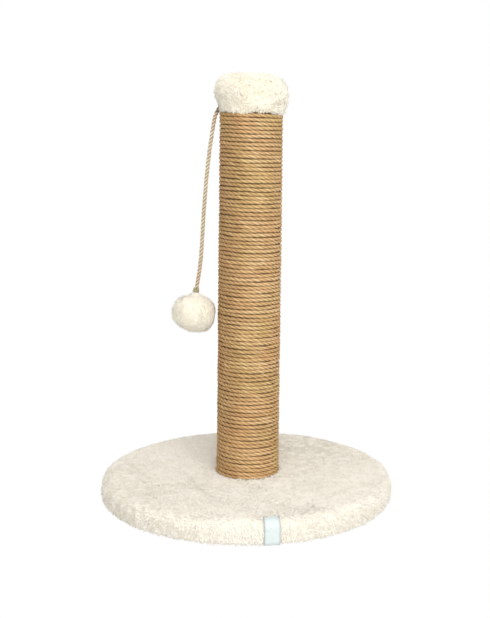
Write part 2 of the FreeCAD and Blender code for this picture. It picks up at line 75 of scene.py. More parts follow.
def srgb(red, green, blue):
    """A colour given in screen values from 0 to 255, as the linear values that shaders take."""
    linear = []
    for value in (red, green, blue):
        part = value / 255
        linear.append(part / 12.92 if part <= 0.04045 else ((part + 0.055) / 1.055) ** 2.4)
    return (*linear, 1.0)


def unit(vectors):
    """Vectors scaled to length one."""
    return vectors / np.linalg.norm(vectors, axis=1, keepdims=True)


def path_lengths(points):
    """The distance gone at each point of a path."""
    return np.concatenate([[0], np.cumsum(np.linalg.norm(np.diff(points, axis=0), axis=1))])


def soft_noise(points, size, seed):
    """Smooth random values from -1 to 1 at points, with bumps about size metres across."""
    table_size = 4096
    away_from_zero = 97.3
    table = np.random.default_rng(seed).uniform(-1, 1, table_size)
    scaled = points / size + away_from_zero
    cell = np.floor(scaled).astype(np.int64)
    part = scaled - cell
    part = part * part * (3 - 2 * part)
    total = np.zeros(len(points))
    for step in np.ndindex(2, 2, 2):
        corner = cell + np.array(step)
        hashed = corner[:, 0] * 73856093 ^ corner[:, 1] * 19349663 ^ corner[:, 2] * 83492791
        near = np.abs(1 - np.array(step) - part)
        total += near[:, 0] * near[:, 1] * near[:, 2] * table[hashed % table_size]
    return total


def noise_along(gone, second, third, size, seed):
    """Smooth random values along a path; second and third pick one of many such rows."""
    return soft_noise(np.column_stack([gone, gone * 0 + second, gone * 0 + third]), size, seed)


def bell(values):
    """A bell curve: 1 at zero, falling to nothing about two away."""
    return np.exp(-(values**2))


def lumps(points, sizes):
    """Heights of a lumpy surface: each pair in sizes is a bump's width and its height, in metres."""
    total = np.zeros(len(points))
    for seed, (size, height) in enumerate(sizes):
        total += height * soft_noise(points, size, seed + 11)
    return total


def add_object(name, data):
    """A new object in the scene."""
    made = bpy.data.objects.new(name, data)
    bpy.context.scene.collection.objects.link(made)
    return made


def mesh_piece(name, points, faces, material, values=None, uv=None):
    """A new smooth mesh object from arrays of points and faces, with point values and a corner map."""
    mesh = bpy.data.meshes.new(name)
    corners = faces.shape[1]
    mesh.vertices.add(len(points))
    mesh.vertices.foreach_set("co", points.astype(np.float32).ravel())
    mesh.loops.add(faces.size)
    mesh.loops.foreach_set("vertex_index", faces.astype(np.int32).ravel())
    mesh.polygons.add(len(faces))
    mesh.polygons.foreach_set("loop_start", np.arange(0, faces.size, corners, dtype=np.int32))
    mesh.polygons.foreach_set("use_smooth", np.ones(len(faces), dtype=bool))
    for key, value in (values or {}).items():
        kind, field = ("FLOAT", "value") if value.ndim == 1 else ("FLOAT_VECTOR", "vector")
        layer = mesh.attributes.new(key, kind, "POINT")
        layer.data.foreach_set(field, value.astype(np.float32).ravel())
    if uv is not None:
        layer = mesh.uv_layers.new(name="OFBake")
        layer.data.foreach_set("uv", uv.astype(np.float32).ravel())
    mesh.update(calc_edges=True)
    mesh.materials.append(material)
    return add_object(name, mesh)


def merge_poles(piece):
    """Joins the points that a turned surface has on its axis."""
    edit = bmesh.new()
    edit.from_mesh(piece.data)
    bmesh.ops.remove_doubles(edit, verts=edit.verts, dist=1e-6)
    edit.to_mesh(piece.data)
    edit.free()


# Materials


def set_inputs(node, inputs):
    """Sets a node's inputs, each to a constant or to another node's output."""
    for key, value in inputs.items():
        if isinstance(value, bpy.types.NodeSocket):
            node.id_data.links.new(value, node.inputs[key])
        else:
            node.inputs[key].default_value = value


def new_material(name, roughness):
    """A material with its node tree and its main shader."""
    material = bpy.data.materials.new(name)
    material.use_nodes = True
    shader = material.node_tree.nodes["Principled BSDF"]
    set_inputs(shader, {"Roughness": roughness})
    return material, material.node_tree, shader


def add_node(tree, kind, inputs, **settings):
    """A new node with its settings and inputs."""
    node = tree.nodes.new(kind)
    for key, value in settings.items():
        setattr(node, key, value)
    set_inputs(node, inputs)
    return node


def noise_node(tree, vector, scale, detail=3.0, roughness=0.55):
    """A noise texture's value output."""
    inputs = {"Vector": vector, "Scale": scale, "Detail": detail, "Roughness": roughness}
    return add_node(tree, "ShaderNodeTexNoise", inputs).outputs["Fac"]


def ramp_node(tree, value, stops):
    """A colour ramp: each stop is a place from 0 to 1 and a colour."""
    node = add_node(tree, "ShaderNodeValToRGB", {"Fac": value})
    elements = node.color_ramp.elements
    while len(elements) < len(stops):
        elements.new(0.5)
    for element, (place, colour) in zip(elements, stops):
        element.position = place
        element.color = colour
    return node.outputs["Color"]


def mix_colours(tree, share, first, second, blend="MIX"):
    """A mix of two colours by a share, which is a number or an output."""
    # The node has sockets of one name for each kind of value, so those for colours go by number
    inputs = {0: share, 6: first, 7: second}
    return add_node(tree, "ShaderNodeMix", inputs, data_type="RGBA", blend_type=blend).outputs[2]


def value_map(tree, value, low, high, to_low=0.0, to_high=1.0):
    """A value moved from one range to another and held inside it."""
    inputs = {"Value": value, "From Min": low, "From Max": high, "To Min": to_low, "To Max": to_high}
    return add_node(tree, "ShaderNodeMapRange", inputs, clamp=True).outputs["Result"]


def attribute_node(tree, name, output="Fac"):
    """A point attribute's output."""
    return add_node(tree, "ShaderNodeAttribute", {}, attribute_name=name).outputs[output]


def bump(tree, shader, height, strength, distance):
    """Relief from a height output."""
    inputs = {"Height": height, "Strength": strength, "Distance": distance}
    set_inputs(shader, {"Normal": add_node(tree, "ShaderNodeBump", inputs).outputs["Normal"]})


def object_vector(tree):
    """The piece's own coordinates, in metres."""
    return add_node(tree, "ShaderNodeTexCoord", {}).outputs["Object"]


def plush_material(name, colours, sheen, spread):
    """Short plush pile: each lock has its own shade, and painted shade makes it a little darker at its
    root.
    """
    dark, middle, light, root_shade = (srgb(*colour) for colour in colours)
    material, tree, shader = new_material(name, 0.95)
    place = object_vector(tree)
    shade = ramp_node(tree, attribute_node(tree, "shade"), [(0.0, dark), (0.5, middle), (1.0, light)])
    fine = value_map(tree, noise_node(tree, place, 1400), 0.3, 0.7, 0.0, 0.1)
    shade = mix_colours(tree, fine, shade, dark)
    deep_shade = value_map(tree, attribute_node(tree, "tip"), 0.0, 0.75, 0.55, 0.0)
    shade = mix_colours(tree, deep_shade, shade, root_shade)
    set_inputs(shader, {"Base Color": shade, "Specular IOR Level": 0.12, "Sheen Weight": sheen})
    set_inputs(shader, {"Sheen Roughness": spread, "Sheen Tint": srgb(255, 250, 240)})
    bump(tree, shader, noise_node(tree, place, 2200, 2.0), 0.15, 0.0004)
    return material


rope_tints = [(0.2, (0.95, 0.97, 0.88, 1)), (0.5, (1, 1, 1, 1)), (0.8, (1.0, 0.95, 0.92, 1))]


def rope_material(name, colours):
    """Twisted plant fibre: streaks along each strand, olive and rosy tints, and painted shade in the
    gaps.
    """
    dark, middle, light, gap_shade = (srgb(*colour) for colour in colours)
    material, tree, shader = new_material(name, 0.72)
    grain = noise_node(tree, attribute_node(tree, "fibre", "Vector"), 1.0, 4.0, 0.62)
    streak = ramp_node(tree, grain, [(0.3, dark), (0.5, middle), (0.72, light)])
    patch = ramp_node(tree, attribute_node(tree, "patch"), [(0.0, dark), (0.55, middle), (1.0, light)])
    colour = mix_colours(tree, 0.52, streak, patch)
    tint = ramp_node(tree, attribute_node(tree, "tint"), rope_tints)
    colour = mix_colours(tree, 1.0, colour, tint, "MULTIPLY")
    colour = mix_colours(tree, attribute_node(tree, "hollow_shade"), colour, gap_shade)
    set_inputs(shader, {"Base Color": colour, "Specular IOR Level": 0.3})
    bump(tree, shader, grain, 0.55, 0.0005)
    return material


def streaked_material(name, dark, light, stretch, scale, roughness, relief, metallic=0.0):
    """A plain material with drawn-out grain: wood, board or brushed metal."""
    material, tree, shader = new_material(name, roughness)
    mapping = add_node(tree, "ShaderNodeMapping", {"Vector": object_vector(tree), "Scale": stretch})
    grain = noise_node(tree, mapping.outputs["Vector"], scale, 5.0, 0.6)
    colour = ramp_node(tree, grain, [(0.3, dark), (0.7, light)])
    set_inputs(shader, {"Base Color": colour, "Metallic": metallic})
    bump(tree, shader, grain, relief, 0.0005)
    return material


def backing_material():
    """Thin black non-woven cloth, embossed with a fine grid of dots."""
    material, tree, shader = new_material("backing_cloth", 0.9)
    inputs = {"Vector": object_vector(tree), "Scale": 450, "Randomness": 0.15}
    dots = add_node(tree, "ShaderNodeTexVoronoi", inputs, feature="F1")
    pressed = value_map(tree, dots.outputs["Distance"], 0.15, 0.45)
    colour = ramp_node(tree, pressed, [(0.0, srgb(26, 26, 27)), (1.0, srgb(52, 52, 53))])
    set_inputs(shader, {"Base Color": colour})
    bump(tree, shader, pressed, 0.5, 0.0003)
    return material


def ribbon_material():
    """Pale woven satin ribbon: fine weft ribs, and painted shade along its long edges."""
    material, tree, shader = new_material("label_ribbon", 0.42)
    place = attribute_node(tree, "ribbon", "Vector")
    inputs = {"Vector": place, "Scale": 36, "Distortion": 0.6, "Detail": 2.0}
    weave = add_node(tree, "ShaderNodeTexWave", inputs, wave_type="BANDS", bands_direction="Y")
    body = ramp_node(tree, weave.outputs["Fac"], [(0.0, srgb(191, 201, 199)), (1.0, srgb(210, 219, 217))])
    # Painted shade: the ribbon turns greyer towards both long edges
    edge = value_map(tree, attribute_node(tree, "edge"), 0.72, 1.0, 0.0, 0.75)
    colour = mix_colours(tree, edge, body, srgb(160, 168, 168))
    set_inputs(shader, {"Base Color": colour, "Sheen Weight": 0.15})
    bump(tree, shader, weave.outputs["Fac"], 0.3, 0.0002)
    return material


def fibre_fill_material():
    """Loose white polyester filling."""
    material, tree, shader = new_material("fibre_filling", 0.95)
    tangle = noise_node(tree, object_vector(tree), 320, 6.0, 0.7)
    colour = ramp_node(tree, tangle, [(0.3, srgb(206, 206, 202)), (0.7, srgb(246, 246, 243))])
    set_inputs(shader, {"Base Color": colour, "Sheen Weight": 0.3})
    bump(tree, shader, tangle, 0.8, 0.002)
    return material


# Colours of pile: dark, middle and light locks, and the painted shade at their roots
plush = plush_material(
    "plush_pile", [(212, 205, 189), (235, 229, 216), (243, 238, 227), (226, 218, 202)], 0.35, 0.55
)
# The cap's and ball's pile is the same fleece as the base's, painted warmer for the light bounced within
# its pile
warm_plush = plush_material(
    "plush_pile_warm", [(211, 201, 175), (230, 222, 199), (248, 243, 226), (223, 212, 187)], 1.0, 0.8
)
fibre_look = plush_material(
    "rope_fibre", [(168, 124, 72), (212, 176, 120), (240, 216, 170), (150, 108, 60)], 0.2, 0.55
)
# Colours of rope: dark, middle and light fibres, and the painted shade in the gaps between strands and
# turns
rope_look = rope_material("rope", [(155, 115, 70), (202, 166, 116), (230, 202, 158), (90, 58, 30)])
cord_look = rope_material("cord", [(172, 152, 122), (214, 200, 172), (241, 233, 216), (80, 58, 36)])
thread_look = rope_material("thread", [(166, 158, 122), (200, 192, 154), (222, 214, 180), (120, 110, 78)])
ribbon = ribbon_material()
board_wood = streaked_material(
    "board_wood", srgb(158, 122, 82), srgb(205, 172, 128), (1, 14, 14), 26, 0.7, 0.2
)
plug_wood = streaked_material(
    "plug_wood", srgb(190, 150, 104), srgb(222, 190, 146), (1, 10, 1), 40, 0.65, 0.2
)
tube_card = streaked_material(
    "tube_board", srgb(140, 110, 76), srgb(178, 146, 106), (6, 6, 1), 120, 0.9, 0.3
)
steel = streaked_material(
    "steel", (0.42, 0.42, 0.41, 1), (0.62, 0.62, 0.6, 1), (1, 1, 8), 300, 0.35, 0.1, metallic=1.0
)
backing = backing_material()
filling = fibre_fill_material()


# Turned surfaces


def smooth_profile(pairs, spacing, rounding):
    """Evenly spaced points along runs between (radius, height) pairs, with the corners rounded off."""
    fine_step = 0.00025
    knots = np.array(pairs, dtype=float)
    gone = path_lengths(knots)
    fine = np.linspace(0, gone[-1], int(gone[-1] / fine_step) + 1)
    line = np.column_stack([np.interp(fine, gone, knots[:, 0]), np.interp(fine, gone, knots[:, 1])])
    reach = int(rounding / fine_step)
    for _ in range(2):
        wide = np.pad(line, ((reach, reach), (0, 0)), mode="reflect", reflect_type="odd")
        sums = np.cumsum(np.vstack([np.zeros(2), wide]), axis=0)
        window = 2 * reach + 1
        line = (sums[window:] - sums[:-window]) / window
    gone = path_lengths(line)
    even = np.linspace(0, gone[-1], int(gone[-1] / spacing) + 1)
    radius = np.maximum(np.interp(even, gone, line[:, 0]), 0)
    height = np.interp(even, gone, line[:, 1])
    way = unit(np.column_stack([np.gradient(radius), np.gradient(height)]))
    return {"gone": even, "radius": radius, "height": height, "way_r": way[:, 0], "way_z": way[:, 1]}


def on_turned(profile, gone, turn):
    """Points, outward normals and downhill ways at distances along a profile and angles round it."""
    radius, height, way_r, way_z = (
        np.interp(gone, profile["gone"], profile[key]) for key in ("radius", "height", "way_r", "way_z")
    )
    size = np.hypot(way_r, way_z)
    way_r = way_r / size
    way_z = way_z / size
    cos = np.cos(turn)
    sin = np.sin(turn)
    points = np.column_stack([radius * cos, radius * sin, height])
    normals = np.column_stack([-way_z * cos, -way_z * sin, way_r])
    ways = np.column_stack([way_r * cos, way_r * sin, way_z])
    return points, normals, ways


def nearest_gone(profile, radius, height):
    """How far along a profile its point nearest to a radius and a height lies."""
    return profile["gone"][np.argmin(np.hypot(profile["radius"] - radius, profile["height"] - height))]


def turned_skin(name, profile, steps, relief, material, closed, middle):
    """A lumpy turned skin as a mesh piece. Both sides move away from the axis point at height middle."""
    rows = len(profile["gone"])
    turns = np.linspace(0, full_turn, steps, endpoint=False)
    grid_gone, grid_turn = np.meshgrid(profile["gone"], turns, indexing="ij")
    points, normals, _ = on_turned(profile, grid_gone.ravel(), grid_turn.ravel())
    facing = np.sum(normals * unit(points - [0, 0, middle]), axis=1)
    outward = normals * np.clip(4 * facing, -1, 1)[:, None]
    points += outward * relief(points, outward)[:, None]
    index = np.arange(rows * steps).reshape(rows, steps)
    here = index if closed else index[:-1]
    there = np.roll(index, -1, axis=0) if closed else index[1:]
    faces = np.stack([here, there, np.roll(there, -1, 1), np.roll(here, -1, 1)], axis=-1).reshape(-1, 4)
    row, column = np.divmod(np.arange(len(here) * steps), steps)
    left = column / steps
    right = (column + 1) / steps
    low = row / len(here)
    high = (row + 1) / len(here)
    uv = np.stack([left, low, left, high, right, high, right, low], axis=-1)
    shade = 0.5 + 0.3 * soft_noise(points, 0.011, 5)
    values = {"shade": shade, "tip": np.full(len(points), 0.8)}
    piece = mesh_piece(name, points, faces, material, values, uv)
    merge_poles(piece)
    return piece


# Steps that fill a square evenly, and how far points stray from that, in shares of their spacing
first_step = 0.7548776662
second_step = 0.5698402910
spread_blur = 1.2


def scatter(profile, count, low, high, rng):
    """Distances and angles of points spread evenly over a turned surface between two places on it."""
    gone = profile["gone"]
    inside = (gone >= low) & (gone <= high)
    places = gone[inside]
    area = np.cumsum(np.maximum(profile["radius"][inside], 1e-5))
    area = (area - area[0]) / (area[-1] - area[0])
    number = np.arange(count)
    first = (0.5 + number * first_step) % 1
    second = (0.5 + number * second_step) % 1
    blur = spread_blur / math.sqrt(count)
    first = np.clip(first + rng.uniform(-blur, blur, count), 0, 1)
    second = second + rng.uniform(-blur, blur, count)
    return np.interp(first, area, places), second * full_turn


# One lock of pile: a three-sided root and waist, and a tip, all kept above the floor
lock_floor = 0.0004
lock_corners = 7
lock_flatness = 0.7
root_depth = 0.0008
waist_place = 0.5
# How far locks change together, and how they lie under the label and beside the post
clump_size = 0.006
patch_size = 0.03
pressed_lift = 0.26
pressed_length = 0.8
post_side_trim = 0.32
post_side_lay = 0.62
lock_faces = [(0, 1, 4), (0, 4, 3), (3, 4, 6), (1, 2, 5), (1, 5, 4)]
lock_faces += [(4, 5, 6), (2, 0, 3), (2, 3, 5), (5, 3, 6), (0, 2, 1)]


def lock_map(count):
    """A map by face corner with one cell of a square grid for each lock."""
    cells = math.ceil(math.sqrt(count))
    corners = []
    for side in range(3):
        left = (0.05 + side * 0.9) / 3
        right = (0.05 + side * 0.9 + 0.85) / 3
        corners += [(left, 0.15), (right, 0.15), (right, 0.5)]
        corners += [(left, 0.15), (right, 0.5), (left, 0.5)]
        corners += [(left, 0.5), (right, 0.5), ((left + right) / 2, 0.95)]
    corners += [(0.1, 0.02), (0.5, 0.1), (0.9, 0.02)]
    pattern = np.array(corners)
    row, column = np.divmod(np.arange(count), cells)
    cell = np.column_stack([column, row])
    return ((cell[:, None, :] + pattern[None, :, :]) / cells).reshape(-1, 2)


def lock_piece(name, roots, normals, ways, shape, material, rng, own_share=0.42):
    """Many locks as one mesh piece. Shape has each lock's length, width, lift, droop and shade.

    The locks are shaded much like the skin that they grow on, as soft pile is; own_share is the part of
    their own roundness that shows, one number or one for each lock.
    """
    count = len(roots)
    own_share = np.broadcast_to(own_share, count)[:, None]
    length = shape["length"][:, None]
    lift = shape["lift"][:, None]
    side = unit(np.cross(normals, ways))
    first = normals * np.sin(lift) + ways * np.cos(lift)
    stray = rng.normal(0, 0.22, (count, 3))
    second = unit(first + shape["droop"][:, None] * (ways - 0.7 * normals) + stray)
    up = np.cross(first, side)
    waist = roots + first * length * waist_place
    tip = waist + second * length * (1 - waist_place)
    points = np.empty((count, lock_corners, 3))
    facing = np.empty((count, lock_corners, 3))
    for corner in range(3):
        angle = math.radians(90 + 120 * corner)
        across = side * math.cos(angle) + up * math.sin(angle) * lock_flatness
        across = across * shape["width"][:, None] / 2
        points[:, corner] = roots - normals * root_depth + across * 0.9
        points[:, 3 + corner] = waist + across
        facing[:, corner] = normals + unit(across) * own_share
        facing[:, 3 + corner] = facing[:, corner]
    points[:, 6] = tip
    facing[:, 6] = normals + second * own_share
    points[:, :, 2] = np.maximum(points[:, :, 2], lock_floor)
    faces = np.array(lock_faces)[None, :, :] + lock_corners * np.arange(count)[:, None, None]
    along = np.tile([0, 0, 0, 0.6, 0.6, 0.6, 1.0], count)
    values = {"shade": np.repeat(np.clip(shape["shade"], 0, 1), lock_corners), "tip": along}
    points = points.reshape(-1, 3)
    piece = mesh_piece(name, points, faces.reshape(-1, 3), material, values, lock_map(count))
    piece.data.normals_split_custom_set_from_vertices(unit(facing.reshape(-1, 3)))
    return piece


def turned_about(vectors, axes, angles):
    """Vectors turned about unit axes that are square to them."""
    return vectors * np.cos(angles)[:, None] + np.cross(axes, vectors) * np.sin(angles)[:, None]


def pile_shape(points, look, rng):
    """Random sizes and shades of locks, which change slowly from place to place; thin ones stand up."""
    count = len(points)
    clump = soft_noise(points, clump_size, 21)
    patch = soft_noise(points, patch_size, 22)
    thin = rng.random(count) < look["thin"]
    lift = look["lift"] + rng.normal(0, 0.14, count) + 0.18 * clump + np.where(thin, look["stand"], 0)
    return {
        "length": look["length"] * np.exp(rng.normal(0, 0.16, count)) * (1 + 0.18 * clump),
        "width": look["width"] * np.exp(rng.normal(0, 0.2, count)) * np.where(thin, 0.34, 1),
        "lift": np.clip(lift, 0.08, 1.4),
        "droop": rng.uniform(0.15, 0.7, count),
        "shade": look["tone"] + look["mottle"] * clump + 0.1 * patch + rng.normal(0, 0.15, count),
    }


def grow_pile(
    name, profile, relief, spread, look, seed, material, keep=None, place=None, shade_and_mottle=None, press=None
):
    """Locks over a turned skin. Spread is their count and two ends on the profile, look their sizes.

    Keep tells which locks are made, press which of them lie flat, the shade function how much darker they
    are painted, for painted shade and mottling, and place moves them to where the skin stands, with
    shorter pile on the post's side.
    """
    rng = np.random.default_rng(seed)
    count, low, high = spread
    gone, turn = scatter(profile, count, low, high, rng)
    if keep is not None:
        kept = keep(gone, turn)
        gone = gone[kept]
        turn = turn[kept]
    points, normals, ways = on_turned(profile, gone, turn)
    points += normals * relief(points, normals)[:, None]
    flat = np.clip((normals[:, 2] - 0.6) / 0.3, 0, 1)
    swirl = look["curl"] * soft_noise(points, 0.022, seed + 1) + 0.5 * soft_noise(points, 0.007, seed + 2)
    swirl += 2.4 * flat * soft_noise(points, 0.07, seed + 3)
    ways = turned_about(ways, normals, swirl + rng.normal(0, 0.45, len(points)))
    shape = pile_shape(points, look, rng)
    shape["lift"] *= 1 - 0.3 * flat
    if press is not None:
        pressed = press(gone, turn)
        shape["lift"] = np.where(pressed, pressed_lift, shape["lift"])
        shape["length"] *= np.where(pressed, pressed_length, 1)
    # Painted shade and mottling make the locks darker
    if shade_and_mottle is not None:
        shape["shade"] -= shade_and_mottle(points)
    if place is not None:
        turn_part = np.array(place.to_3x3())
        points = points @ turn_part.T + np.array(place.translation)
        normals = normals @ turn_part.T
        ways = ways @ turn_part.T
        beside_post = np.clip(normals[:, 0], 0, 1) ** 2
        shape["length"] *= 1 - post_side_trim * beside_post
        shape["lift"] *= 1 - post_side_lay * beside_post
    own_share = look["round"] * (1.8 - 0.8 * flat)
    return lock_piece(name, points, normals, ways, shape, material, rng, own_share)


def dress(piece, body, slot, *replaced):
    """Puts a finished piece on its body and hides the solids that it stands for; slot is not used."""
    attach(piece, body)
    if replaced:
        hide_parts(*replaced)
    return piece


# Base: a thick skin with rounded rim and turned-under hem, and its pile

skin_in = 0.003
hem_lift = 0.0012
base_rounds = (0.015, 0.006)


def rim_pairs(radius, top, bottom, rounds):
    """Pairs down a rim, from its top to its underside; rounds are its upper and lower edge's sizes."""
    upper = []
    lower = []
    for turn in range(0, 91, 15):
        sine_gap = 1 - math.sin(math.radians(turn))
        cosine_gap = 1 - math.cos(math.radians(turn))
        upper.append((radius - rounds[0] * sine_gap, top - rounds[0] * cosine_gap))
        lower.append((radius - rounds[1] * cosine_gap, bottom + rounds[1] * sine_gap))
    return upper + lower


base_pairs = [(post_hole, post_bottom + 0.0006), (post_hole + 0.0012, base_top - skin_in)]
base_pairs += rim_pairs(base_radius - skin_in, base_top - skin_in, hem_bottom + hem_lift, base_rounds)
base_pairs += [
    (hem_inner + 0.0005, hem_bottom + 0.0002), (hem_inner + 0.0005, 0.0029), (0.1932, 0.0032),
    (0.1932, 0.0208), (0.1846, 0.0272), (post_hole + 0.0072, 0.0284),
    (post_hole + 0.0072, post_bottom - 0.0026), (post_hole - 0.03, post_bottom - 0.0026),
    (post_hole - 0.03, post_bottom - 0.0004), (post_hole - 0.0004, post_bottom - 0.0002),
]
base_profile = smooth_profile(base_pairs, 0.0016, 0.0008)
base_look = dict(
    length=0.0046, width=0.0017, lift=0.34, curl=1.1,
    thin=0.12, stand=0.4, tone=0.55, mottle=0.36, round=0.5
)


def base_relief(points, normals):
    """Heights of the base's soft lumps."""
    return lumps(points, [(0.05, 0.0008)])


rim_end = nearest_gone(base_profile, 0.1955, 0.0048)
base_skin = turned_skin("base_skin", base_profile, 420, base_relief, plush, closed=True, middle=0.02)
dress(base_skin, "stand", "plush_pile", "base_cover")
pile_start = 0.005
pile_parts = 4
part_count = 19000
base_spread = (part_count * pile_parts, pile_start, rim_end)
label_clear = math.radians(0.35)
# Patches of painted shade on the pile, behind the post, on the top right of it and round the left and
# front-left rim:
# place across and along the base, reach, and how much darker they look
painted_shade_spots = [
    (0.09, 0.1, 0.06, 0.55),
    (0.1, -0.03, 0.08, 0.16),
    (-0.19, -0.04, 0.07, 0.26),
    (-0.13, -0.15, 0.06, 0.22),
]


def under_label(gone, turn):
    """Which places on the base's skin lie under the label, where the pile is pressed flat."""
    points, _, _ = on_turned(base_profile, gone, turn)
    beside = np.abs((turn - label_turn + math.pi) % full_turn - math.pi) > label_half - label_clear
    return ~beside & (np.hypot(points[:, 0], points[:, 1]) > base_radius - 0.02)


def painted_spot_shade(points):
    """How much darker the pile is painted in the patches of painted shade, with uneven mottling."""
    total = np.zeros(len(points))
    for x, y, reach, depth in painted_shade_spots:
        away = np.hypot(points[:, 0] - x, points[:, 1] - y) / reach
        uneven = 1 + 0.6 * soft_noise(points, 0.025, 31) + 1.7 * soft_noise(points, 0.007, 32)
        total += depth * bell(away) * uneven
    return total


def in_part(number):
    """A test for the places that lie in one quarter of the base."""
    return lambda gone, turn: np.floor((turn % full_turn) / (full_turn / pile_parts)) == number


for number in range(pile_parts):
    pile = grow_pile(
        f"base_pile_{number + 1}", base_profile, base_relief, base_spread, base_look, 301, plush,
        in_part(number), shade_and_mottle=painted_spot_shade, press=under_label,
    )
    dress(pile, "stand", "plush_pile")


def post_collar(count, seed):
    """Locks round the post's foot, which lean in against the lowest turn of rope."""
    rng = np.random.default_rng(seed)
    turn = rng.uniform(0, full_turn, count)
    first = nearest_gone(base_profile, post_hole + 0.003, base_top - skin_in)
    gone = first + np.abs(rng.normal(0, 0.0025, count))
    points, normals, ways = on_turned(base_profile, gone, turn)
    points += normals * base_relief(points, normals)[:, None]
    ways = turned_about(-ways, normals, rng.normal(0, 0.6, count))
    shape = pile_shape(points, base_look, rng)
    shape["lift"] = rng.uniform(0.25, 0.9, count)
    return lock_piece("post_collar", points, normals, ways, shape, plush, rng)


dress(post_collar(900, 341), "stand", "plush_pile")


# Label: a blank ribbon laid round the rim

label_sunk = 0.0008
label_rounds = (0.0124, 0.0068)
label_radius = base_radius - label_sunk
label_top = base_top - label_sunk
label_pairs = [(base_radius - 0.0155, label_top)]
label_pairs += rim_pairs(label_radius, label_top, hem_bottom, label_rounds)
label_profile = smooth_profile(label_pairs, 0.0006, 0.0008)
ribbon_half = 0.0002
selvedge_more = 0.0002


def label_piece():
    """The ribbon as a thin closed strip with a slight ripple and thicker edges."""
    rows = len(label_profile["gone"])
    columns = 25
    across = np.linspace(-1, 1, columns)
    grid_gone, grid_across = np.meshgrid(label_profile["gone"], across, indexing="ij")
    turn = label_turn + grid_across.ravel() * label_half
    points, normals, _ = on_turned(label_profile, grid_gone.ravel(), turn)
    edge = np.abs(grid_across.ravel())
    ripple = 0.0005 * soft_noise(points, 0.007, 61) + 0.0003 * soft_noise(points, 0.003, 62)
    half = ribbon_half + selvedge_more * np.clip((edge - 0.86) / 0.1, 0, 1)
    outer = points + normals * (ripple + half)[:, None]
    inner = points + normals * (ripple - half)[:, None]
    index = np.arange(rows * columns).reshape(rows, columns)
    below = index + rows * columns
    front = np.stack([index[:-1, :-1], index[1:, :-1], index[1:, 1:], index[:-1, 1:]], -1)
    back = np.stack([below[:-1, :-1], below[:-1, 1:], below[1:, 1:], below[1:, :-1]], -1)
    rim = np.concatenate([index[:-1, 0], index[-1, :-1], index[:0:-1, -1], index[0, :0:-1]])
    after = np.roll(rim, -1)
    sides = np.stack([rim, rim + rows * columns, after + rows * columns, after], -1)
    faces = np.vstack([front.reshape(-1, 4), back.reshape(-1, 4), sides])
    along = grid_gone.ravel() / 0.02
    place = np.column_stack([grid_across.ravel() / 2, along, np.zeros(len(along))])
    values = {"edge": np.tile(edge, 2), "ribbon": np.vstack([place, place])}
    return mesh_piece("label_ribbon", np.vstack([outer, inner]), faces, ribbon, values)


dress(label_piece(), "stand", "label_ribbon", "side_label")


# Rope


def strands(path, normals, tangents, twist, sizes, seed):
    """Points, faces and values of a rope's strands. Twist is the angle at each path point."""
    count = sizes["count"]
    sides = sizes["sides"]
    steps = len(path)
    binormals = np.cross(tangents, normals)
    gone = path_lengths(path)
    all_points, all_faces, hollow_shade, patch, fibre = [], [], [], [], []
    for strand in range(count):
        angle = twist + full_turn * strand / count
        away = normals * np.cos(angle)[:, None] + binormals * np.sin(angle)[:, None]
        wander = 1 + sizes["uneven"] * noise_along(gone, strand, 0, 0.02, seed + strand)
        centre = path + away * (sizes["offset"] * wander)[:, None]
        heading = unit(np.gradient(centre, axis=0))
        beside = np.cross(heading, away)
        turns = full_turn * (np.arange(sides) + 0.5) / sides
        ring = away[:, None, :] * np.cos(turns)[None, :, None]
        ring += beside[:, None, :] * np.sin(turns)[None, :, None]
        points = centre[:, None, :] + ring * (sizes["radius"] * wander)[:, None, None]
        index = np.arange(steps * sides).reshape(steps, sides) + strand * steps * sides
        beyond = np.roll(index, -1, axis=1)
        quads = np.stack([index[:-1], beyond[:-1], beyond[1:], index[1:]], axis=-1).reshape(-1, 4)
        all_points.append(points.reshape(-1, 3))
        all_faces.append(quads)
        # Painted shade in the grooves between strands, darkest on each strand's side towards the rope's
        # middle
        hollow_shade.append(np.tile(np.clip(0.8 - np.cos(turns), 0, 1), steps))
        quick = noise_along(gone, strand, 3, 0.014, seed + 5 + strand)
        slow = noise_along(gone, 0, 9, 0.16, seed + 9)
        patch.append(np.repeat(0.5 + 0.4 * quick + 0.35 * slow, sides))
        round_way = np.stack([np.cos(turns) * 4.5, np.sin(turns) * 4.5], axis=-1)
        grain = np.empty((steps, sides, 3))
        grain[:, :, :2] = round_way[None, :, :] + 40 * strand
        grain[:, :, 2] = gone[:, None] * 160
        fibre.append(grain.reshape(-1, 3))
    points = np.vstack(all_points)
    faces = np.vstack(all_faces)
    columns = math.ceil(math.sqrt(count * (steps - 1)))
    run, side = np.divmod(np.arange(len(faces)), sides)
    row, column = np.divmod(run, columns)
    low = (row + 0.05 + 0.9 * side / sides) / columns
    high = (row + 0.05 + 0.9 * (side + 1) / sides) / columns
    left = column / columns
    right = (column + 1) / columns
    uv = np.stack([left, low, left, high, right, high, right, low], axis=-1)
    values = {"hollow_shade": np.concatenate(hollow_shade), "patch": np.concatenate(patch), "fibre": np.vstack(fibre)}
    values["tint"] = 0.5 + 0.5 * soft_noise(points, 0.035, seed % 100 + 40)
    return points, faces, values, uv


rope_lay = 0.024
rope_centre = 0.0398
rope_step = 0.00152
rope_strands = dict(count=3, radius=0.00172, offset=0.00118, sides=8, uneven=0.14)
rope_reach = 0.0028
rope_flare = 0.0013
flare_height = 0.09
# Strengths of the painted shade on the rope's left side and of the painted highlight a little right of
# its middle
painted_shade_side = 0.42
painted_highlight = 0.1
turn_length = math.hypot(full_turn * rope_centre, rope_pitch)


def flare(height):
    """How far the winding swells out towards the post's foot."""
    return rope_flare * np.clip(1 - (height - rope_start) / flare_height, 0, 1) ** 2


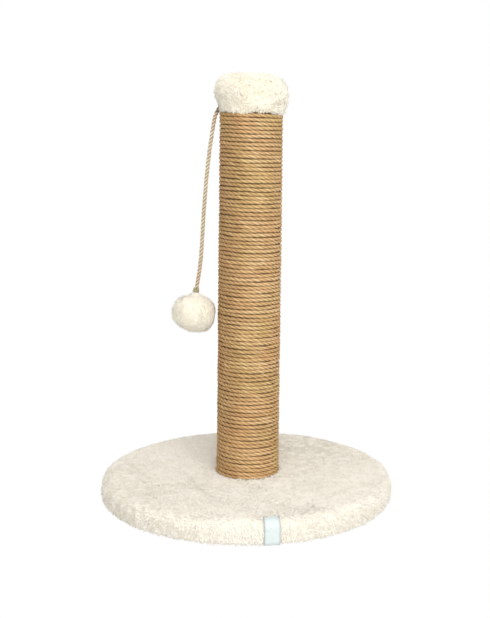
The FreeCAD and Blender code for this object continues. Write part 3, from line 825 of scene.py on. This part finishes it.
def wound(turns):
    """The winding's centre line, outward normals and directions at turns counted from its start."""
    angle = math.pi / 2 - full_turn * turns
    height = rope_start + rope_pitch * turns
    around = np.column_stack([np.cos(angle), np.sin(angle), height / 0.05])
    radius = rope_centre + flare(height) + 0.0004 * soft_noise(around, 0.4, 71)
    height += 0.0008 * soft_noise(np.column_stack([around[:, :2], turns]), 0.6, 72)
    outward = np.column_stack([np.cos(angle), np.sin(angle), np.zeros(len(turns))])
    path = outward * radius[:, None]
    path[:, 2] = height
    heading = unit(np.gradient(path, axis=0))
    normals = unit(outward - heading * np.sum(outward * heading, axis=1, keepdims=True))
    return path, normals, heading


def painted_side_light(points):
    """How much paler the rope is painted: painted shade on the cord's side of the post, and a painted
    highlight a little right of its middle.
    """
    side = points[:, 0] / rope_centre
    dark = painted_shade_side * np.clip((-0.15 - side) / 0.5, 0, 1)
    return painted_highlight * bell((side - 0.25) / 0.4) - dark


def rope_piece(number):
    """One length of the winding, as three strands laid together."""
    turns_each = rope_turns / rope_lengths
    steps = int(turns_each * turn_length / rope_step) + 1
    turns = np.linspace(number * turns_each, (number + 1) * turns_each, steps)
    path, normals, heading = wound(turns)
    gone = turns * turn_length
    uneven = 1.3 * noise_along(gone, 0, 0, 0.05, 73)
    twist = full_turn * gone / rope_lay + uneven
    points, faces, values, uv = strands(path, normals, heading, twist, rope_strands, 400 + 10 * number)
    # Painted shade on the left side and painted highlight right of the middle, added to the rope's patch
    # shade
    values["patch"] += painted_side_light(points)
    # Painted shade in the hollows between turns, uneven along them, joined with the painted shade in the
    # strands' grooves
    depth = (np.hypot(points[:, 0], points[:, 1]) - rope_centre) / rope_reach
    between = np.clip((0.7 - depth) / 0.5, 0, 1)
    between *= np.clip(0.72 + 0.8 * soft_noise(points, 0.013, 77), 0.2, 1)
    values["hollow_shade"] = np.clip(np.maximum(values["hollow_shade"] * 0.62, between), 0, 0.68)
    return mesh_piece(f"rope_{number + 1}", points, faces, rope_look, values, uv)


for number in range(rope_lengths):
    dress(rope_piece(number), "stand", "rope", f"rope_winding_{number + 1}")


def rope_fibres(count, seed):
    """Loose fibres that stand off the winding."""
    rng = np.random.default_rng(seed)
    turns = rng.uniform(0.5, rope_turns - 0.5, count)
    angle = math.pi / 2 - full_turn * turns
    height = rope_start + rope_pitch * turns + rng.uniform(-0.0015, 0.0015, count)
    normals = np.column_stack([np.cos(angle), np.sin(angle), np.zeros(count)])
    roots = normals * (rope_centre + 0.0024)
    roots[:, 2] = height
    roots[:, :2] *= 1 + (flare(height) / rope_centre)[:, None]
    level = np.column_stack([np.sin(angle), -np.cos(angle), np.zeros(count)])
    ways = turned_about(level, normals, rng.normal(0, 0.5, count) + math.pi * rng.integers(0, 2, count))
    shape = {
        "length": rng.uniform(0.003, 0.009, count),
        "width": rng.uniform(0.0002, 0.00038, count),
        "lift": np.abs(rng.normal(0.12, 0.14, count)),
        "droop": rng.uniform(-0.1, 0.3, count),
        "shade": rng.uniform(0, 1, count),
    }
    return lock_piece("rope_fibres", roots, normals, ways, shape, fibre_look, rng)


dress(rope_fibres(1300, 91), "stand", "rope")


# Cap: a padded skin gathered onto the tube, and its pile

cap_hem_radius = 0.0426
cap_hem_height = 0.5268
cap_pairs = [
    (0, 0.5755), (0.021, 0.5752), (0.0325, 0.5729), (0.0415, 0.567),
    (0.0469, 0.559), (0.0486, 0.551), (0.0474, 0.5425), (0.0452, 0.5345),
    (0.0434, 0.5292), (cap_hem_radius, cap_hem_height), (0.0416, 0.5266), (0.0412, 0.5277),
    (0.0385, 0.5279), (0.0385, 0.5352), (0.0446, 0.5362), (0.0466, 0.551),
    (0.045, 0.5585), (0.0398, 0.5657), (0.0313, 0.5716), (0.0205, 0.5739),
    (0, 0.5744),
]
cap_profile = smooth_profile(cap_pairs, 0.0013, 0.0012)
cap_look = dict(
    length=0.0046, width=0.002, lift=0.3, curl=5,
    thin=0.15, stand=0.4, tone=0.52, mottle=0.16, round=0.26
)
cap_lean = -0.04
cap_bulge = 0.0013
cap_tuck = 0.0015
waist_height = 0.014
waist_reach = 0.013
tuck_width = 0.03
tuck_height = 0.014


def cap_relief(points, normals):
    """Heights of the cap's lumps. Its crown leans to the cord's side and its waist to the other side.

    Its lower edge is tucked in where the cord comes out.
    """
    up = points[:, 2] - cap_hem_height
    waist = bell((up - waist_height) / waist_reach)
    far_side = np.where(points[:, 0] < 0, 0, 9)
    away = np.hypot(points[:, 1] / tuck_width, up / tuck_height) + far_side
    return (
        lumps(points, [(0.04, 0.0008), (0.014, 0.0005)])
        + (cap_lean * up + cap_bulge * waist) * normals[:, 0]
        - cap_tuck * bell(away)
    )


cap_skin = turned_skin("cap_skin", cap_profile, 220, cap_relief, warm_plush, closed=False, middle=0.55)
dress(cap_skin, "stand", "plush_pile", "cap_cover")
cap_hem_gone = nearest_gone(cap_profile, cap_hem_radius, cap_hem_height)


def gathered_nap(points):
    """How the pile's shade varies where the cap is gathered above its hem."""
    low = bell((points[:, 2] - 0.532) / 0.012)
    return 0.65 * low * soft_noise(points, 0.007, 33)


cap_spread = (15500, 0.0, cap_hem_gone)
cap_pile = grow_pile(
    "cap_pile", cap_profile, cap_relief, cap_spread, cap_look, 501, warm_plush, shade_and_mottle=gathered_nap
)
dress(cap_pile, "stand", "plush_pile")
hem_look = dict(
    length=0.0052, width=0.0022, lift=0.16,
    thin=0.1, stand=0.4, tone=0.5, mottle=0.4
)
hem_scallops = [
    (-88, 26, 0.0045),
    (-42, 9, 0.0016),
    (-27, 5, -0.002),
    (-15, 9, 0.0036),
    (12, 10, -0.001),
    (48, 12, 0.0028),
    (75, 16, 0.0036),
]


def hem_tufts(count, seed):
    """Locks round the cap's hem, which hang over the rope in uneven scallops.

    Each of hem_scallops has its place from the front and its reach, in degrees, and its drop.
    """
    rng = np.random.default_rng(seed)
    turn = rng.uniform(0, full_turn, count)
    gone = cap_hem_gone - np.abs(rng.normal(0, 0.0032, count))
    points, normals, ways = on_turned(cap_profile, gone, turn)
    points += normals * cap_relief(points, normals)[:, None]
    around = np.column_stack([np.cos(turn), np.sin(turn), np.zeros(count)])
    scallop = 0.003 * soft_noise(around, 0.16, 81)
    from_front = (np.degrees(turn) + 90 + 180) % 360 - 180
    for place, reach, drop in hem_scallops:
        scallop += drop * bell((from_front - place) / reach)
    ways = turned_about(ways, normals, 0.9 * soft_noise(around, 0.1, 82) + rng.normal(0, 0.25, count))
    shape = pile_shape(points, hem_look, rng)
    shape["length"] = np.maximum(shape["length"] + scallop, 0.0015)
    # Painted shade: tufts in the hem's notches are darker and the longer ones lighter
    shape["shade"] += 60 * scallop
    shape["droop"] = rng.uniform(0.1, 0.5, count)
    return lock_piece("cap_hem_tufts", points, normals, ways, shape, warm_plush, rng)


dress(hem_tufts(2600, 521), "stand", "plush_pile")


# Toy: the ball, its neck tie and its cord

ball_turn = Vector((0, 0, -1)).rotation_difference(ball_axis)
ball_place = Matrix.Translation(neck_point) @ ball_turn.to_matrix().to_4x4()
ball_middle = -0.029
ball_side = 0.0275
ball_above = 0.0222
ball_below = 0.0229
ball_skin_thick = 0.0018
squareness = 2.5


def ball_pair(turn, inset):
    """A pair on the ball's rounded outline, at an angle above its middle; inset is its depth."""
    sine = math.sin(math.radians(turn))
    cosine = math.cos(math.radians(turn))
    tall = (ball_above if sine > 0 else ball_below) - inset
    level = math.copysign(abs(sine) ** (2 / squareness), sine)
    return ((ball_side - inset) * cosine ** (2 / squareness), ball_middle + tall * level)


# The ball skin's profile in its own frame, from its neck to its lowest point and back inside
ball_lowest = ball_middle - ball_below
ball_pairs = [(0.003, -0.0013), (0.0039, -0.0015), (0.0041, -0.0034), (0.0049, -0.005), (0.0067, -0.0064)]
ball_pairs += [ball_pair(turn, 0) for turn in range(72, -90, -9)]
ball_pairs += [(0, ball_lowest), (0, ball_lowest + ball_skin_thick)]
ball_pairs += [ball_pair(turn, ball_skin_thick) for turn in range(-81, 73, 9)]
ball_pairs.append((0.003, -0.007))
ball_profile = smooth_profile(ball_pairs, 0.0011, 0.0008)
# The ball's pile is painted lighter than the cap's, a painted lift against the shade on its sides and
# underside
ball_look = dict(
    length=0.0048, width=0.0014, lift=0.36, curl=4,
    thin=0.35, stand=0.75, tone=0.88, mottle=0.22, round=0.6
)
ball_lean = 0.05
pleats = 9
ball_dents = [((-0.7, 0, 0.71), -0.0026), ((0.5, 0, -0.87), 0.0014)]
dent_reach = 0.55


def ball_relief(points, normals):
    """Heights of the ball's lumps, dents and neck pleats; it hangs a little straighter than its cord."""
    turn = np.arctan2(points[:, 1], points[:, 0])
    total = 0.0004 * np.cos(pleats * turn) * bell(points[:, 2] / 0.006)
    total += lumps(points, [(0.022, 0.001), (0.006, 0.0004)]) - ball_lean * points[:, 2] * normals[:, 0]
    from_middle = unit(points - [0, 0, ball_middle])
    for way, height in ball_dents:
        apart = np.arccos(np.clip(from_middle @ np.array(way), -1, 1))
        total += height * bell(apart / dent_reach)
    return total


ball_skin = turned_skin(
    "ball_skin", ball_profile, 150, ball_relief, warm_plush, closed=True, middle=ball_middle
)
ball_skin.data.transform(ball_place)
dress(ball_skin, "toy_ball", "plush_pile", "ball_cover")
ball_spread = (14000, 0.0042, nearest_gone(ball_profile, 0, ball_lowest))
ball_pile = grow_pile(
    "ball_pile", ball_profile, ball_relief, ball_spread, ball_look, 601, warm_plush, place=ball_place
)
dress(ball_pile, "toy_ball", "plush_pile")


def route_points(pairs):
    """Points of the smooth spline that has the route's points as its control points."""
    curve = bpy.data.curves.new("cord_route", "CURVE")
    curve.dimensions = "3D"
    curve.resolution_u = 32
    spline = curve.splines.new("NURBS")
    spline.points.add(len(pairs) - 1)
    for point, (x, z) in zip(spline.points, pairs):
        point.co = (x, 0, z, 1)
    spline.order_u = 3
    spline.use_endpoint_u = True
    holder = add_object("cord_route", curve)
    bpy.context.view_layer.update()
    mesh = bpy.data.meshes.new_from_object(holder)
    points = np.array([vertex.co for vertex in mesh.vertices])
    bpy.data.meshes.remove(mesh)
    bpy.data.objects.remove(holder)
    bpy.data.curves.remove(curve)
    return points


cord_lay = 0.0156
cord_step = 0.0007
cord_strands = dict(count=3, radius=0.00134, offset=0.0015, sides=10, uneven=0.1)
route = route_points(cord_route)
route_gone = path_lengths(route)
exit_gone = route_gone[np.argmin(np.linalg.norm(route - np.array(exit_point), axis=1))]
below_exit = 0.014
split_gone = exit_gone + below_exit


def cord_piece(name, start, end, seed):
    """The cord's strands between two distances along its route, with painted shadow where it comes out
    from under the cap, and their path.
    """
    gone = np.linspace(start, end, int((end - start) / cord_step) + 1)
    path = np.column_stack([np.interp(gone, route_gone, route[:, axis]) for axis in range(3)])
    heading = unit(np.gradient(path, axis=0))
    normals = unit(np.cross(heading, [0.0, 1.0, 0.0]))
    twist = full_turn * gone / cord_lay
    points, faces, values, uv = strands(path, normals, heading, twist, cord_strands, seed)
    # Painted shadow on the cord where it comes out from under the cap's hem
    shaded = np.clip((exit_gone - 0.002 - gone) / 0.004, 0, 0.75)
    shaded = np.tile(np.repeat(shaded, cord_strands["sides"]), cord_strands["count"])
    values["hollow_shade"] = np.maximum(values["hollow_shade"], shaded)
    return mesh_piece(name, points, faces, cord_look, values, uv), path


cord_top, top_path = cord_piece("toy_cord_top", 0, split_gone, 701)
cord_long, long_path = cord_piece("toy_cord_long", split_gone, route_gone[-1], 701)
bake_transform(cord_top)
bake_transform(cord_long)
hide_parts("toy_cord_tail", "toy_cord_upper")
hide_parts("toy_cord_drop")


tie_turns = 7
tie_steps = 308
tie_top = 0.0043
tie_pitch = 0.0008
tie_radius = 0.0038
tie_taper = 0.16
tie_twist = 6
tie_strands = dict(count=2, radius=0.0003, offset=0.00029, sides=6, uneven=0.06)


def tie_piece():
    """Turns of thread whipped round the cord on top of the ball's neck, wider towards the neck."""
    turns = np.linspace(0, tie_turns, tie_steps)
    angle = full_turn * turns
    height = tie_top - tie_pitch * turns
    radius = tie_radius - tie_taper * height
    path = np.column_stack([radius * np.cos(angle), radius * np.sin(angle), height])
    path = path @ np.array(ball_place.to_3x3()).T + np.array(ball_place.translation)
    heading = unit(np.gradient(path, axis=0))
    normals = unit(np.cross(heading, np.array(ball_axis)))
    points, faces, values, uv = strands(path, normals, heading, angle * tie_twist, tie_strands, 731)
    return mesh_piece("ball_tie_thread", points, faces, thread_look, values, uv)


tie = dress(tie_piece(), "toy_ball", "thread", "ball_tie")


# Solids that stay, with their materials

looks = {
    "base_board": board_wood,
    "bottom_plug": plug_wood,
    "top_plug": plug_wood,
    "post_tube": tube_card,
    "base_backing": backing,
    "base_wadding": filling,
    "cap_padding": filling,
    "ball_stuffing": filling,
    "cord_knot": cord_look,
}
for node_name, node in nodes.items():
    look = looks.get(node_name, steel)
    for slot in node.material_slots:
        slot.material = look


# Floor, light and camera


def floor_piece():
    """A white floor that is seen but neither throws light nor holds it back."""
    material, _, shader = new_material("floor", 1.0)
    set_inputs(shader, {"Base Color": (0, 0, 0, 1), "Specular IOR Level": 0})
    set_inputs(shader, {"Emission Color": (1, 1, 1, 1), "Emission Strength": 1.0})
    half = 12.0
    low = -0.0003
    corners = np.array([(-half, -half, low), (half, -half, low), (half, half, low), (-half, half, low)])
    piece = mesh_piece("floor", corners, np.array([[0, 1, 2, 3]]), material)
    for rays in ("diffuse", "glossy", "transmission", "shadow"):
        setattr(piece, f"visible_{rays}", False)


floor_piece()


def studio_world(above, below):
    """Even light from all round, as strong from below as a white floor makes it, and a white backdrop."""
    world = bpy.data.worlds.new("studio")
    world.use_nodes = True
    tree = world.node_tree
    place = add_node(tree, "ShaderNodeTexCoord", {}).outputs["Generated"]
    way = add_node(tree, "ShaderNodeSeparateXYZ", {"Vector": place})
    light = value_map(tree, way.outputs["Z"], -0.25, 0.25, below, above)
    seen = add_node(tree, "ShaderNodeLightPath", {}).outputs["Is Camera Ray"]
    choice = add_node(tree, "ShaderNodeMix", {"Factor": seen, "A": light, "B": 1.0}, data_type="FLOAT")
    set_inputs(tree.nodes["Background"], {"Color": (1, 1, 1, 1), "Strength": choice.outputs["Result"]})
    bpy.context.scene.world = world


studio_world(above=0.8, below=0.98)
key_place = Vector((0.6, -2.95, 2.2))
key_aim = Vector((0, 0, 0.25))
key_data = bpy.data.lights.new("key_light", "AREA")
key_data.shape = "SQUARE"
key_data.size = 3.0
key_data.energy = 119
key_light = add_object("key_light", key_data)
key_light.location = key_place
key_light.rotation_euler = (key_aim - key_place).to_track_quat("-Z", "Y").to_euler()

focal_pixels = 1117
frame_height = 618
look_down = 6.885
look_right = 2.93
roll = 1.0
camera_data = bpy.data.cameras.new("camera")
camera_data.sensor_width = 36
camera_data.lens = focal_pixels / frame_height * camera_data.sensor_width
camera_data.shift_x = -0.1
camera_data.shift_y = -0.1
camera = add_object("camera", camera_data)
camera.location = (0.0, -1.4997, 0.5256)
camera_tilt = Matrix.Rotation(math.radians(90 - look_down), 3, "X")
camera_turn = Matrix.Rotation(math.radians(-look_right), 3, "Z")
camera_roll = Matrix.Rotation(math.radians(roll), 3, "Z")
camera.rotation_euler = (camera_turn @ camera_tilt @ camera_roll).to_euler()
bpy.context.scene.camera = camera
bpy.context.scene.view_settings.view_transform = "Standard"
